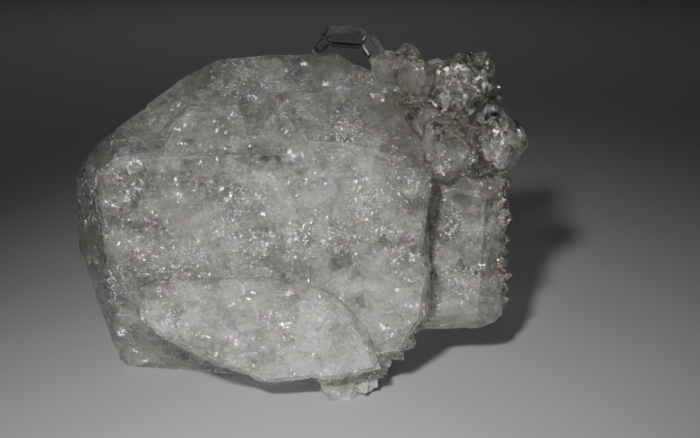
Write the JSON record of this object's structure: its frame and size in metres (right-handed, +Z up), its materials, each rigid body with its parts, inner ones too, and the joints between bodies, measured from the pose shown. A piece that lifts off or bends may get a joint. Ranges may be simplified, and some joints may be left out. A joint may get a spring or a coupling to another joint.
{
  "type": "herkimer diamond cluster",
  "caption": "Cluster of clear to milky quartz crystals grown together: one large, many-faced crystal with flat plates, a smaller one beside it and tiny ones along the edge.",
  "frame": {"origin": "on the ground under the middle of the cluster's bounding box", "axes": "+X is the viewer's right, where the smaller crystal is; +Y points away from the viewer; +Z up"},
  "size_m": [0.0984, 0.066, 0.0769],
  "materials": {
    "quartz": "clear to milky, bright flat faces"
  },
  "bodies": {
    "root": {"herkimer_cluster": "quartz"}
  },
  "joints": []
}
